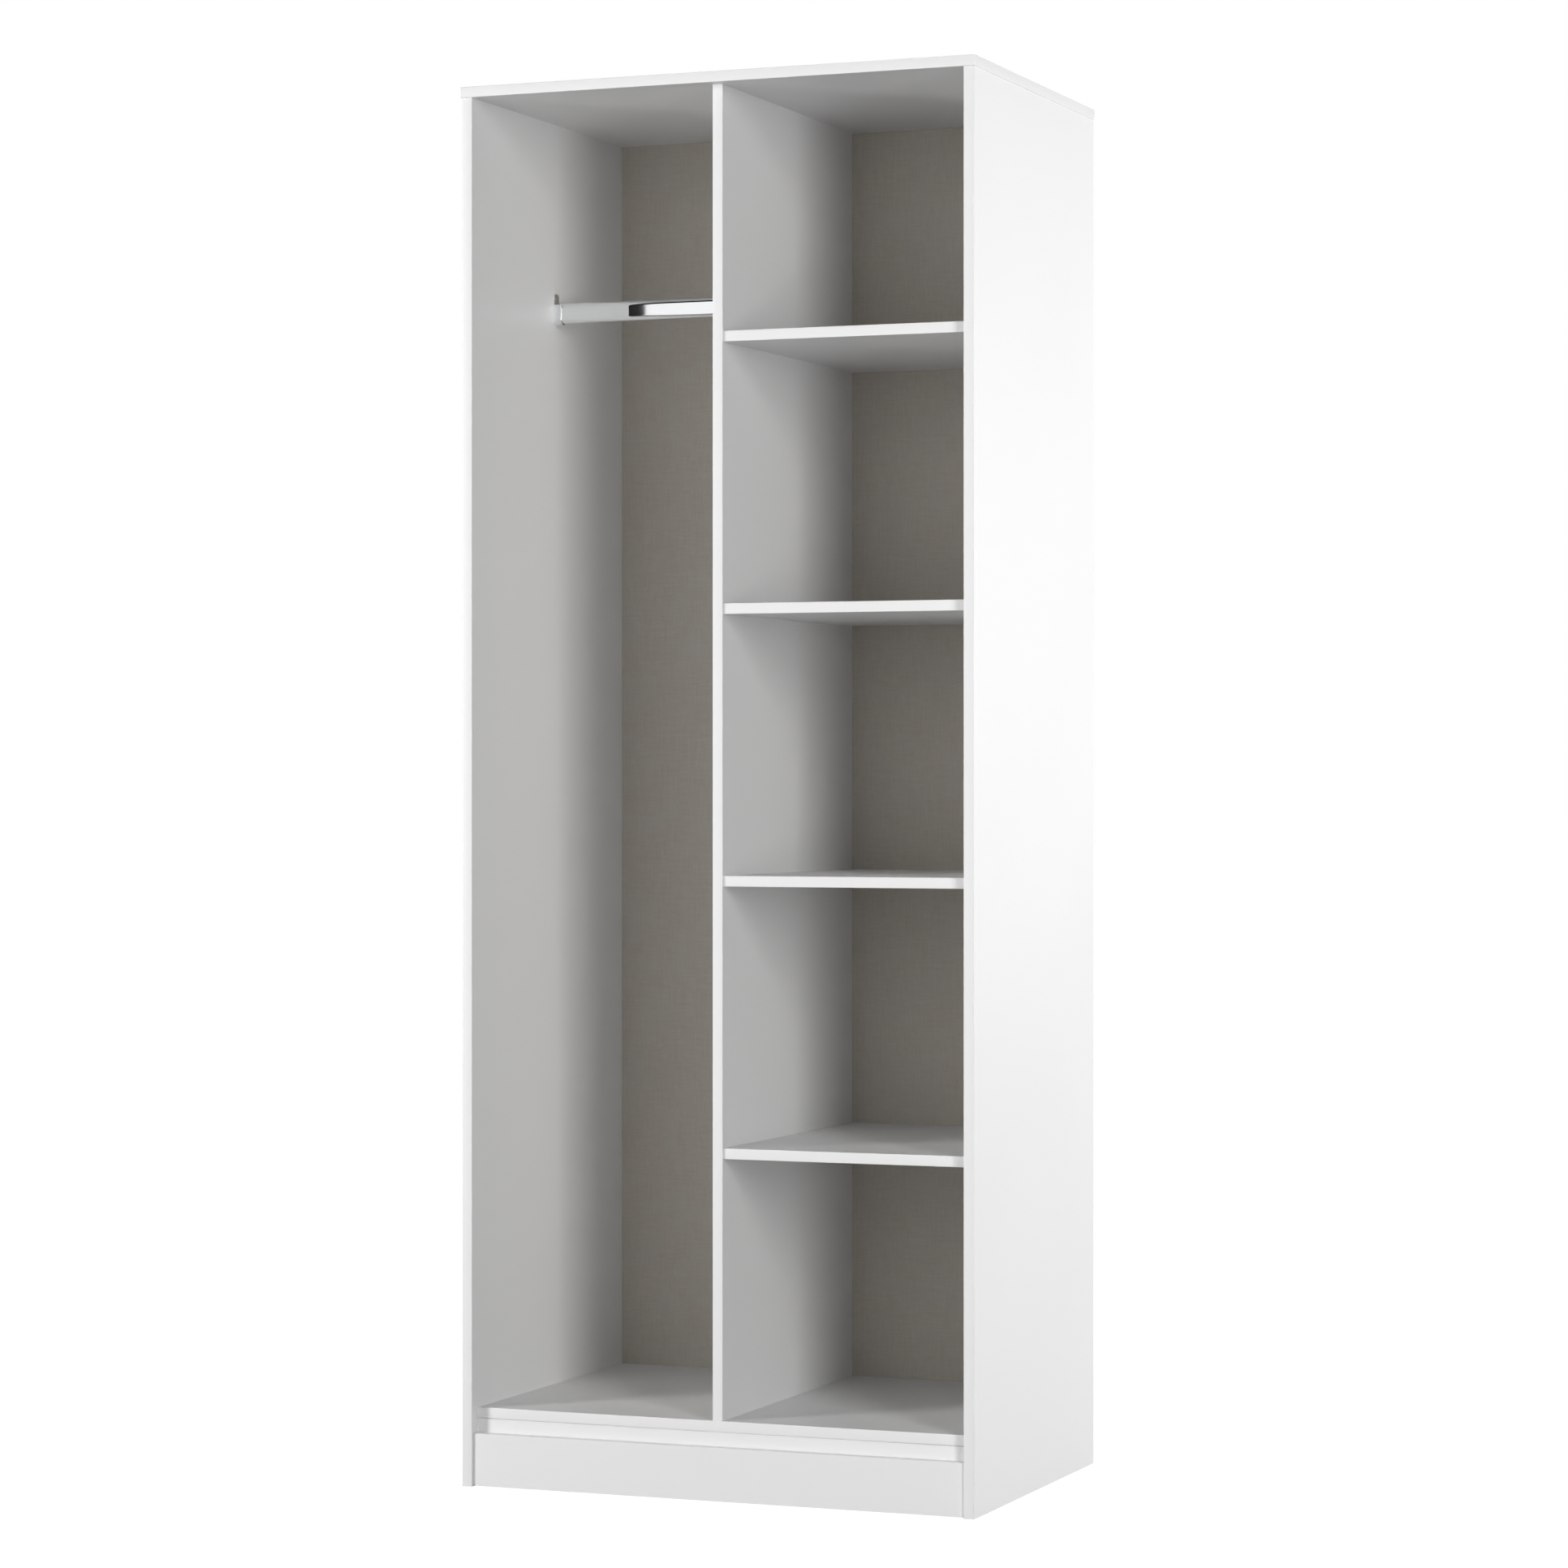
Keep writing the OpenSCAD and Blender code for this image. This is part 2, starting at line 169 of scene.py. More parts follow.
class Graph:
    """A node tree under construction."""

    def __init__(self, tree: bpy.types.NodeTree) -> None:
        """Starts from an empty tree."""
        self.tree = tree
        tree.nodes.clear()

    def plug(self, socket: bpy.types.NodeSocket, value: Plug) -> None:
        """Gives an input its value, or links it.

        Args:
            socket: the input.
            value: a Link, a list of Links, or a plain value.
        """
        if isinstance(value, Link):
            self.tree.links.new(value.socket, socket)
        elif isinstance(value, list):
            for each in value:
                self.tree.links.new(each.socket, socket)
        else:
            socket.default_value = value

    def make(self, kind: str, output: str = "", settings: Mapping[str, Any] | None = None,
             inputs: Mapping[str | int, Plug] | None = None) -> Link:
        """Adds a node.

        Args:
            kind: the node's type.
            output: the output wanted, by identifier or name; empty for the first.
            settings: properties set before the inputs, a ramp's "stops" and a switch's "choices".
            inputs: values or links by socket identifier, name or place.

        Returns:
            The wanted output.
        """
        node = self.tree.nodes.new(kind)
        for name, value in (settings or {}).items():
            if name == "stops":
                self._set_stops(node.color_ramp, value)
            elif name == "choices":
                while len(node.index_switch_items) < value:
                    node.index_switch_items.new()
            else:
                setattr(node, name, value)
        for key, value in (inputs or {}).items():
            target = node.inputs[key] if isinstance(key, int) else socket_named(node.inputs, key)
            self.plug(target, value)
        if not node.outputs:
            return Link(self, None)
        return Link(self, socket_named(node.outputs, output) if output else node.outputs[0])

    @staticmethod
    def _set_stops(ramp: bpy.types.ColorRamp, stops: Sequence[tuple[float, Colour]]) -> None:
        """Sets a colour ramp's stops, given as (place, colour)."""
        while len(ramp.elements) < len(stops):
            ramp.elements.new(1.0)
        for element, (place, colour) in zip(ramp.elements, stops):
            element.position = place
            element.color = (*colour, 1.0)

    def math(self, operation: str, *values: Plug) -> Link:
        """Adds a Math node.

        Args:
            operation: the node's operation.
            values: its inputs in order.

        Returns:
            Its result.
        """
        return self.make("ShaderNodeMath", "Value", {"operation": operation}, dict(enumerate(values)))

    def sibling(self, link: Link, output: str) -> Link:
        """Another output of the node that link comes from."""
        return Link(self, socket_named(link.socket.node.outputs, output))


class ShaderGraph(Graph):
    """A material's node tree that ends in one Principled shader."""

    def __init__(self, name: str) -> None:
        """Makes the material and an empty tree.

        Args:
            name: the material's name.
        """
        self.material = bpy.data.materials.new(name)
        self.material.use_nodes = True
        super().__init__(self.material.node_tree)

    def coordinates(self, stretch: Sequence[float] = (1.0, 1.0, 1.0)) -> Link:
        """The place on the wardrobe in metres, stretched along each axis.

        Args:
            stretch: how many pattern lengths go in a metre along X, Y and Z.

        Returns:
            The stretched place, as a vector.
        """
        place = self.make("ShaderNodeTexCoord", "Object")
        return self.make("ShaderNodeMapping", "Vector", None, {"Vector": place, "Scale": tuple(stretch)})

    def part(self, vector: Link, axis: Axis) -> Link:
        """One component of a vector."""
        return self.make("ShaderNodeSeparateXYZ", axis.name, None, {"Vector": vector})

    def facing(self, axis: Axis) -> Link:
        """The surface's own outward direction along an axis, from -1 to 1."""
        return self.part(self.make("ShaderNodeTexCoord", "Normal"), axis)

    def noise(self, stretch: Sequence[float], detail: float = 2.0, roughness: float = 0.5) -> Link:
        """Soft noise from 0 to 1.

        Args:
            stretch: how many lumps go in a metre along X, Y and Z.
            detail: octaves of finer noise.
            roughness: weight of the finer octaves.

        Returns:
            The noise's value.
        """
        return self.make("ShaderNodeTexNoise", "Fac", None, {
            "Vector": self.coordinates(stretch), "Scale": 1.0, "Detail": detail, "Roughness": roughness})

    def blend(self, factor: Plug, first: Plug, second: Plug) -> Link:
        """Mixes two colours.

        Args:
            factor: 0 for the first, 1 for the second.
            first: a colour of three numbers, or a Link.
            second: a colour of three numbers, or a Link.

        Returns:
            The mixed colour.
        """
        colours = [(*c, 1.0) if isinstance(c, tuple) else c for c in (first, second)]
        return self.make("ShaderNodeMix", "Result_Color", {"data_type": "RGBA"},
                         {"Factor_Float": factor, "A_Color": colours[0], "B_Color": colours[1]})

    def bump(self, height: Link, distance: float, strength: float = 1.0) -> Link:
        """Turns a height from 0 to 1 into a normal.

        Args:
            height: the relief.
            distance: metres between height 0 and 1.
            strength: how much of it shows.

        Returns:
            The normal.
        """
        return self.make("ShaderNodeBump", "Normal", None,
                         {"Height": height, "Distance": distance, "Strength": strength})

    def finish(self, **sockets: Plug) -> bpy.types.Material:
        """Ends the tree in a Principled shader.

        Args:
            sockets: the shader's inputs, with _ for a space in a name.

        Returns:
            The material.
        """
        named = {key.replace("_", " "): value for key, value in sockets.items()}
        colour = named.get("Base Color")
        if isinstance(colour, tuple):
            named["Base Color"] = (*colour, 1.0)
        shader = self.make("ShaderNodeBsdfPrincipled", "BSDF", None, named)
        self.make("ShaderNodeOutputMaterial", "", None, {"Surface": shader})
        return self.material


# ---- finishes ----


class Finish(Protocol):
    """Anything that builds a material."""

    name: str

    def material(self) -> bpy.types.Material:
        """Builds the finish."""


@functools.cache
def coat(finish: Finish) -> bpy.types.Material:
    """Builds a finish once, however many pieces wear it."""
    return finish.material()


@dataclass(frozen=True)
class BoardFinish:
    """White melamine on the two faces of a board, and raw chipboard wherever it is cut."""

    name: str
    thickness: Axis
    faces: tuple[float, float]
    white: Colour = (0.73, 0.73, 0.73)
    sheen_roughness: float = 0.42
    chip_tones: tuple[Colour, Colour, Colour] = ((0.30, 0.19, 0.10), (0.55, 0.40, 0.25), (0.74, 0.59, 0.41))
    paper: float = 0.2 * MM
    coarse_chips: tuple[float, float] = (190.0, 520.0)  # in a metre along the board, and through it
    fine_chips: tuple[float, float] = (700.0, 1500.0)
    fine_layer: tuple[float, float] = (1.5 * MM, 4.0 * MM)  # where fine chips give way to coarse ones
    cut_roughness: float = 0.92
    pearl_grains: float = 1400.0

    def _across(self, flat: float, deep: float) -> list[float]:
        """A stretch that is flat along the board and deep through it."""
        return [deep if axis is self.thickness else flat for axis in Axis]

    def _chips(self, graph: ShaderGraph, flat: float, deep: float) -> tuple[Link, Link]:
        """Pressed chips lying along the board.

        Args:
            graph: the tree.
            flat: chips in a metre along the board.
            deep: chips in a metre through it.

        Returns:
            A shade for each chip, and the height over its surface.
        """
        cells = graph.make(
            "ShaderNodeTexVoronoi", "Color", {"feature": "F1"},
            {"Vector": graph.coordinates(self._across(flat, deep)), "Scale": 1.0, "Randomness": 1.0})
        return graph.part(cells, Axis.X), graph.sibling(cells, "Distance")

    def material(self) -> bpy.types.Material:
        """Builds the finish.

        Returns:
            The material.
        """
        graph = ShaderGraph(self.name)
        place = graph.part(graph.coordinates(), self.thickness)
        low, high = self.faces
        depth = abs(place - low).least(abs(place - high))
        square = abs(graph.facing(self.thickness)) > 0.5
        skin = square * (depth < self.paper)

        coarse_shade, coarse_height = self._chips(graph, *self.coarse_chips)
        fine_shade, fine_height = self._chips(graph, *self.fine_chips)
        core = depth.ramp(*self.fine_layer)
        shade = coarse_shade * core + fine_shade * (1 - core)
        height = coarse_height * core + fine_height * (1 - core)
        stops = list(zip((0.0, 0.45, 1.0), self.chip_tones))
        chips = graph.make("ShaderNodeValToRGB", "Color", {"stops": stops}, {"Fac": shade})

        cloud = graph.noise((3.0, 3.0, 3.0), detail=1.0)
        pearl = graph.noise([self.pearl_grains] * 3, detail=1.0)
        tone = graph.blend(cloud, tuple(0.992 * c for c in self.white), self.white)
        return graph.finish(
            Base_Color=graph.blend(skin, chips, tone),
            Roughness=skin * (cloud * 0.06 + self.sheen_roughness - 0.03) + (1 - skin) * self.cut_roughness,
            Normal=graph.bump(skin * pearl * 0.15 + (1 - skin) * height, 0.4 * MM, 0.35),
            IOR=1.5)


@dataclass(frozen=True)
class EdgingFinish:
    """White plastic edging, a little smoother than the board it is glued to."""

    name: str = "white_edging"
    white: Colour = (0.73, 0.73, 0.73)

    def material(self) -> bpy.types.Material:
        """Builds the finish.

        Returns:
            The material.
        """
        graph = ShaderGraph(self.name)
        cloud = graph.noise((8.0, 8.0, 8.0), detail=1.0)
        pearl = graph.noise((1100.0, 1100.0, 1100.0), detail=1.0)
        tone = graph.blend(cloud, tuple(0.99 * c for c in self.white), self.white)
        return graph.finish(
            Base_Color=tone, Roughness=cloud * 0.05 + 0.33,
            Normal=graph.bump(pearl, 0.05 * MM, 0.3), IOR=1.5)


@dataclass(frozen=True)
class LinenBackFinish:
    """A printed linen weave on the front of the back panel, and bare fibreboard on the rest."""

    name: str = "linen_print"
    thread_dark: Colour = (0.462, 0.424, 0.367)
    thread_light: Colour = (0.552, 0.508, 0.446)
    cool_tint: Colour = (0.497, 0.488, 0.462)
    bare_dark: Colour = (0.30, 0.185, 0.095)
    bare_light: Colour = (0.44, 0.29, 0.165)
    fine_threads: tuple[float, float] = (780.0, 90.0)  # threads, and slubs in a thread, in a metre
    thick_threads: tuple[float, float] = (330.0, 32.0)

    @staticmethod
    def _threads(graph: ShaderGraph, count: float, slubs: float) -> Link:
        """Streaks along the upright and the lying threads.

        Args:
            graph: the tree.
            count: threads in a metre.
            slubs: thick and thin places in a metre of thread.

        Returns:
            The streaks' shade from 0 to 1.
        """
        upright = graph.noise((count, 1.0, slubs), detail=1.0)
        lying = graph.noise((slubs, 1.0, count), detail=1.0)
        return (upright + lying) * 0.5

    def material(self) -> bpy.types.Material:
        """Builds the finish.

        Returns:
            The material.
        """
        graph = ShaderGraph(self.name)
        printed = graph.facing(Axis.Y) < -0.5
        fine = self._threads(graph, *self.fine_threads)
        thick = self._threads(graph, *self.thick_threads)
        weave = (fine * 0.45 + thick * 0.55).ramp(0.32, 0.68)
        mottle = graph.noise((22.0, 1.0, 22.0), detail=2.0).ramp(0.42, 0.72, 0.0, 0.35)
        linen = graph.blend(mottle, graph.blend(weave, self.thread_dark, self.thread_light), self.cool_tint)
        fibres = graph.noise((260.0, 260.0, 260.0), detail=4.0, roughness=0.7).ramp(0.3, 0.7)
        bare = graph.blend(fibres, self.bare_dark, self.bare_light)
        return graph.finish(
            Base_Color=graph.blend(printed, bare, linen),
            Roughness=printed * 0.62 + (1 - printed) * 0.88,
            Normal=graph.bump(weave * printed * 0.5 + fibres * (1 - printed), 0.12 * MM, 0.5),
            IOR=1.45)


@dataclass(frozen=True)
class MetalFinish:
    """Bright metal with a faint unevenness left by polishing."""

    name: str
    colour: Colour
    dull: float
    shine: float
    lumps: float = 30.0

    def material(self) -> bpy.types.Material:
        """Builds the finish.

        Returns:
            The material.
        """
        graph = ShaderGraph(self.name)
        haze = graph.noise((self.lumps, self.lumps, self.lumps), detail=3.0)
        tone = graph.blend(haze, tuple(0.96 * c for c in self.colour), self.colour)
        return graph.finish(Base_Color=tone, Metallic=1.0,
                            Roughness=haze * (self.dull - self.shine) + self.shine)


@dataclass(frozen=True)
class WoodFinish:
    """Bare wood whose grain runs along one axis."""

    name: str
    grain: Axis
    early: Colour
    late: Colour

    def material(self) -> bpy.types.Material:
        """Builds the finish.

        Returns:
            The material.
        """
        graph = ShaderGraph(self.name)
        along = [22.0 if axis is self.grain else 900.0 for axis in Axis]
        rings = [6.0 if axis is self.grain else 210.0 for axis in Axis]
        fibre = graph.noise(along, detail=3.0)
        growth = graph.noise(rings, detail=1.0).ramp(0.35, 0.65)
        tone = graph.blend(growth * 0.6 + fibre * 0.4, self.early, self.late)
        return graph.finish(Base_Color=tone, Roughness=fibre * 0.2 + 0.6,
                            Normal=graph.bump(fibre, 0.1 * MM, 0.4))


@dataclass(frozen=True)
class MouldedPlasticFinish:
    """Matt moulded plastic with a fine grain."""

    name: str = "moulded_plastic"
    colour: Colour = (0.78, 0.78, 0.76)

    def material(self) -> bpy.types.Material:
        """Builds the finish.

        Returns:
            The material.
        """
        graph = ShaderGraph(self.name)
        grain = graph.noise((2500.0, 2500.0, 2500.0), detail=1.0)
        tone = graph.blend(grain, tuple(0.95 * c for c in self.colour), self.colour)
        return graph.finish(Base_Color=tone, Roughness=grain * 0.1 + 0.45,
                            Normal=graph.bump(grain, 0.05 * MM, 0.4))


CHROME = MetalFinish("polished_chrome", (0.90, 0.91, 0.92), dull=0.028, shine=0.012)
ZINC = MetalFinish("bright_zinc", (0.74, 0.75, 0.76), dull=0.38, shine=0.24, lumps=900.0)
PIN_STEEL = MetalFinish("drawn_steel", (0.55, 0.55, 0.56), dull=0.42, shine=0.28, lumps=700.0)


# ---- mesh helpers ----


@dataclass(frozen=True)
class Bounds:
    """A box between two corners."""

    low: Vector
    high: Vector

    @classmethod
    def of(cls, node: str) -> "Bounds":
        """The box of a node of the frame."""
        return cls(*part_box(node))

    @classmethod
    def around(cls, points: Sequence[Vector]) -> "Bounds":
        """The box round some points."""
        return cls(*(Vector([end(p[i] for p in points) for i in range(3)]) for end in (min, max)))

    @property
    def size(self) -> Vector:
        """Its size along X, Y and Z."""
        return self.high - self.low

    @property
    def middle(self) -> Vector:
        """Its middle."""
        return (self.low + self.high) / 2


def merged(node: str) -> bmesh.types.BMesh:
    """A copy of a frame node's mesh, with its loose triangles joined.

    Args:
        node: the node's name.

    Returns:
        The joined mesh, which the caller frees.
    """
    mesh = bmesh.new()
    mesh.from_mesh(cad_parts[node].data)
    bmesh.ops.remove_doubles(mesh, verts=mesh.verts, dist=WELD)
    return mesh


def solids(node: str) -> list[list[Vector]]:
    """The corners of each separate solid in a frame node.

    Args:
        node: the node's name.

    Returns:
        One list of points for each solid.
    """
    mesh = merged(node)
    found, seen = [], set()
    for start in mesh.verts:
        if start in seen:
            continue
        seen.add(start)
        group, queue = [], [start]
        while queue:
            vert = queue.pop()
            group.append(vert.co.copy())
            for edge in vert.link_edges:
                other = edge.other_vert(vert)
                if other not in seen:
                    seen.add(other)
                    queue.append(other)
        found.append(group)
    mesh.free()
    return found


def piece_from(name: str, mesh: bmesh.types.BMesh, finish: bpy.types.Material, smooth_angle: float = 30.0,
               ) -> bpy.types.Object:
    """Turns a mesh under construction into a finished object.

    Args:
        name: the piece's name.
        mesh: the mesh, which is freed.
        finish: the finish that dresses it.
        smooth_angle: edges sharper than this many degrees stay crisp.

    Returns:
        The object, at the origin.
    """
    data = bpy.data.meshes.new(name)
    for face in mesh.faces:
        face.smooth = True
    limit = math.radians(smooth_angle)
    for edge in mesh.edges:
        edge.smooth = len(edge.link_faces) == 2 and edge.calc_face_angle(math.pi) < limit
    mesh.to_mesh(data)
    mesh.free()
    data.materials.append(finish)
    made = bpy.data.objects.new(name, data)
    bpy.context.scene.collection.objects.link(made)
    return made


def settle(piece: bpy.types.Object, body: Body, slot: str, *nodes: str) -> bpy.types.Object:
    """Puts a piece on its body and hides the frame nodes that it stands for.

    Args:
        piece: the finished object.
        body: the body that it rides on.
        slot: not used.
        nodes: the frame nodes that it stands for.

    Returns:
        The piece.
    """
    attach(piece, body.value)
    if nodes:
        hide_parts(*nodes)
    log.info("%s: %d faces, rides on %s", piece.name, len(piece.data.polygons), body.value)
    return piece


def dress(node: str, material: bpy.types.Material) -> None:
    """Gives a frame node that is shown as it is its own finish.

    Args:
        node: the node's name.
        material: the finish.
    """
    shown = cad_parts[node]
    shown.data.materials.clear()
    shown.data.materials.append(material)
    log.info("%s: dressed in %s", node, material.name)


# ---- boards and edging ----


@dataclass
class EdgingStrip:
    """A strip glued along one edge of a board, with its two outer arrises rounded."""

    box: Bounds
    run: Axis
    outward: Axis
    side: int
    radius: float = 0.9 * MM
    steps: int = 6

    @property
    def across(self) -> Axis:
        """The axis across the edge."""
        return (set(Axis) - {self.run, self.outward}).pop()

    def outline(self) -> list[tuple[float, float]]:
        """Draws the strip's section.

        Returns:
            Its corners, as (out from the board, across the edge).
        """
        deep, wide = self.box.size[self.outward.value], self.box.size[self.across.value]
        points = [(0.0, wide), (0.0, 0.0)]
        for centre, start in (((deep - self.radius, self.radius), -90.0),
                              ((deep - self.radius, wide - self.radius), 0.0)):
            for step in range(self.steps + 1):
                turn = math.radians(start + 90.0 * step / self.steps)
                points.append((centre[0] + self.radius * math.cos(turn),
                               centre[1] + self.radius * math.sin(turn)))
        return points

    def add_to(self, mesh: bmesh.types.BMesh) -> None:
        """Adds the strip as a closed prism.

        Args:
            mesh: the mesh under construction.
        """
        low, high = self.box.low, self.box.high
        base = low[self.outward.value] if self.side > 0 else high[self.outward.value]
        rings = []
        for end in (low, high):
            ring = []
            for out, over in self.outline():
                place = Vector((0.0, 0.0, 0.0))
                place[self.run.value] = end[self.run.value]
                place[self.outward.value] = base + self.side * out
                place[self.across.value] = low[self.across.value] + over
                ring.append(mesh.verts.new(place))
            rings.append(ring)
        count = len(rings[0])
        for i in range(count):
            j = (i + 1) % count
            mesh.faces.new((rings[0][i], rings[0][j], rings[1][j], rings[1][i]))
        mesh.faces.new(rings[0])
        mesh.faces.new(list(reversed(rings[1])))


@dataclass
class Boards:
    """The melamine boards, which keep the frame's shapes, and the strips on their visible edges."""

    thickness: dict[str, Axis] = field(default_factory=lambda: {
        "top_panel": Axis.Z, "left_side_panel": Axis.X, "right_side_panel": Axis.X,
        "centre_divider": Axis.X, "bottom_panel": Axis.Z, "shelf_1": Axis.Z, "shelf_2": Axis.Z,
        "shelf_3": Axis.Z, "shelf_4": Axis.Z, "plinth_board": Axis.Y, "rear_kick_rail": Axis.Y,
        "centre_bearer": Axis.X})
    joint_line: tuple[float, float] = (0.9 * MM, 3.0 * MM)  # how high and how deep

    def finish_of(self, node: str, axis: Axis) -> BoardFinish:
        """The board finish for one board, from where its two faces lie."""
        box = Bounds.of(node)
        return BoardFinish(f"melamine_{node}", axis, (box.low[axis.value], box.high[axis.value]))

    def build(self) -> None:
        """Dresses every board and makes the strips."""
        for node, axis in self.thickness.items():
            dress(node, coat(self.finish_of(node, axis)))
        self._sub_rail()
        edging = coat(EdgingFinish())
        for board, run in (("top_panel", Axis.X), ("side_panel", Axis.Z), ("divider", Axis.Z),
                           ("bottom_panel", Axis.X), ("shelf", Axis.X)):
            self._strips(f"{board}_edging", edging, run, Axis.Y, -1)
        self._strips("plinth_edging", edging, Axis.X, Axis.Z, 1)

    def _strips(self, node: str, edging: bpy.types.Material, run: Axis, outward: Axis, side: int) -> None:
        """Makes the rounded strips that stand for one edging node.

        Args:
            node: the frame node, whose solids are the strips.
            edging: the finish.
            run: the axis that most of its strips run along.
            outward: the axis that they face.
            side: 1 or -1, for the way along that axis.
        """
        mesh = bmesh.new()
        for points in solids(node):
            box = Bounds.around(points)
            if box.size.y > box.size.x and outward is Axis.Y:  # the top panel's two side strips
                EdgingStrip(box, Axis.Y, Axis.X, 1 if box.middle.x > 0 else -1).add_to(mesh)
            else:
                EdgingStrip(box, run, outward, side).add_to(mesh)
        bmesh.ops.recalc_face_normals(mesh, faces=mesh.faces)
        settle(piece_from(f"{node}_rounded", mesh, edging), Body.CARCASS, "edging", node)

    def _sub_rail(self) -> None:
        """Makes the sub-rail, whose upper front arris is planed away so that a joint line shows."""
        node = "front_sub_rail"
        box = Bounds.of(node)
        mesh = merged(node)
        bmesh.ops.dissolve_limit(mesh, angle_limit=math.radians(1), verts=mesh.verts, edges=mesh.edges)
        arris = [e for e in mesh.edges
                 if all(abs(v.co.y - box.low.y) < NEAR and abs(v.co.z - box.high.z) < NEAR for v in e.verts)]
        high, deep = self.joint_line
        bmesh.ops.bevel(mesh, geom=arris, offset=high, segments=1, affect="EDGES")
        for vertex in mesh.verts:
            if abs(vertex.co.y - box.low.y - high) < NEAR and abs(vertex.co.z - box.high.z) < NEAR:
                vertex.co.y = box.low.y + deep
        mesh.normal_update()
        for face in mesh.faces:
            face.material_index = int(face.normal.y < -0.05 and face.normal.z > 0.05)
        rail = piece_from("front_sub_rail_eased", mesh, coat(self.finish_of(node, Axis.Y)))
        rail.data.materials.append(coat(EdgingFinish()))
        settle(rail, Body.CARCASS, "white_board", node)


# ---- hanging rail ----


@dataclass
class HangingRail:
    """The oval chrome tube, its two cups and their screws."""

    wall: float = 1.0 * MM
    arc_steps: int = 24
    end_chamfer: float = 0.25 * MM
    flat_hold: float = 0.3 * MM
    rim_round: float = 0.35 * MM
    crisp: float = 40.0

    def build(self) -> None:
        """Makes the tube and the cups."""
        chrome = coat(CHROME)
        self._tube(chrome)
        for side in ("left", "right"):
            self._cup(side, chrome)

    def _oval(self, half_width: float, half_height: float) -> list[tuple[float, float]]:
        """Draws an upright oval with flat sides.

        Args:
            half_width: half its size across.
            half_height: half its size upwards.

        Returns:
            Its points, as (across, up).
        """
        drop = half_height - half_width
        points = []
        for centre, start, side in ((drop, 0.0, -1), (-drop, 180.0, 1)):
            for step in range(self.arc_steps + 1):
                turn = math.radians(start + 180.0 * step / self.arc_steps)
                points.append((half_width * math.cos(turn), centre + half_width * math.sin(turn)))
            for end in (centre, -centre):  # these keep the flat side's shading flat
                points.append((side * half_width, end * (1 - self.flat_hold / drop)))
        return points

    def _tube(self, chrome: bpy.types.Material) -> None:
        """Makes the tube as one closed wall, with its cut ends eased."""
        box = Bounds.of("hanging_rail")
        middle, half = box.middle, box.size / 2
        chamfer = self.end_chamfer
        outer, eased, inner = ((half.y - less, half.z - less) for less in (0.0, chamfer, self.wall))
        rings = [(box.low.x, *eased), (box.low.x + chamfer, *outer), (box.high.x - chamfer, *outer),
                 (box.high.x, *eased), (box.high.x, *inner), (box.low.x, *inner)]
        mesh = bmesh.new()
        loops = [[mesh.verts.new((x, middle.y + a, middle.z + b)) for a, b in self._oval(w, h)]
                 for x, w, h in rings]
        for ring, following in zip(loops, loops[1:] + loops[:1]):
            for i in range(len(ring)):
                j = (i + 1) % len(ring)
                mesh.faces.new((ring[i], ring[j], following[j], following[i]))
        bmesh.ops.recalc_face_normals(mesh, faces=mesh.faces)
        settle(piece_from("hanging_rail_tube", mesh, chrome), Body.RAIL, "chrome", "hanging_rail")

    def _cup(self, side: str, chrome: bpy.types.Material) -> None:
        """Makes one cup from the frame's shape, with its rims rounded.

        Args:
            side: "left" or "right".
            chrome: the finish.
        """
        node = f"{side}_rail_socket"
        mesh = merged(node)
        bmesh.ops.dissolve_limit(mesh, angle_limit=math.radians(0.5), verts=mesh.verts, edges=mesh.edges)
        sharp = [e for e in mesh.edges if e.calc_face_angle(0.0) > math.radians(self.crisp)]
        bmesh.ops.bevel(mesh, geom=sharp, offset=self.rim_round, segments=3, profile=0.5,
                        affect="EDGES", clamp_overlap=True)
        settle(piece_from(f"{side}_rail_cup", mesh, chrome, self.crisp), Body.CARCASS, "chrome", node)


# ---- fixings ----


@dataclass(frozen=True)
class Placement:
    """Where one fixing of a group lies."""

    start: Vector
    way: Vector
    length: float
    start_radius: float


def placements(node: str) -> list[Placement]:
    """Finds each fixing of a group: the end that is widest, and the way to its other end.

    Args:
        node: the frame node that holds the group.

    Returns:
        One placement for each solid.
    """
    found = []
    for points in solids(node):
        box = Bounds.around(points)
        size, middle = box.size, box.middle
        axis = max(Axis, key=lambda a: size[a.value])
        widths = {}
        for side, end in ((-1, box.low[axis.value]), (1, box.high[axis.value])):
            ring = [p for p in points if abs(p[axis.value] - end) < NEAR]
            widths[side] = max((p - middle).cross(axis.unit).length for p in ring)
        head = -1 if widths[-1] >= widths[1] - NEAR / 10 else 1
        start = middle + axis.unit * head * size[axis.value] / 2
        found.append(Placement(start, axis.unit * -head, size[axis.value], widths[head]))
    return found


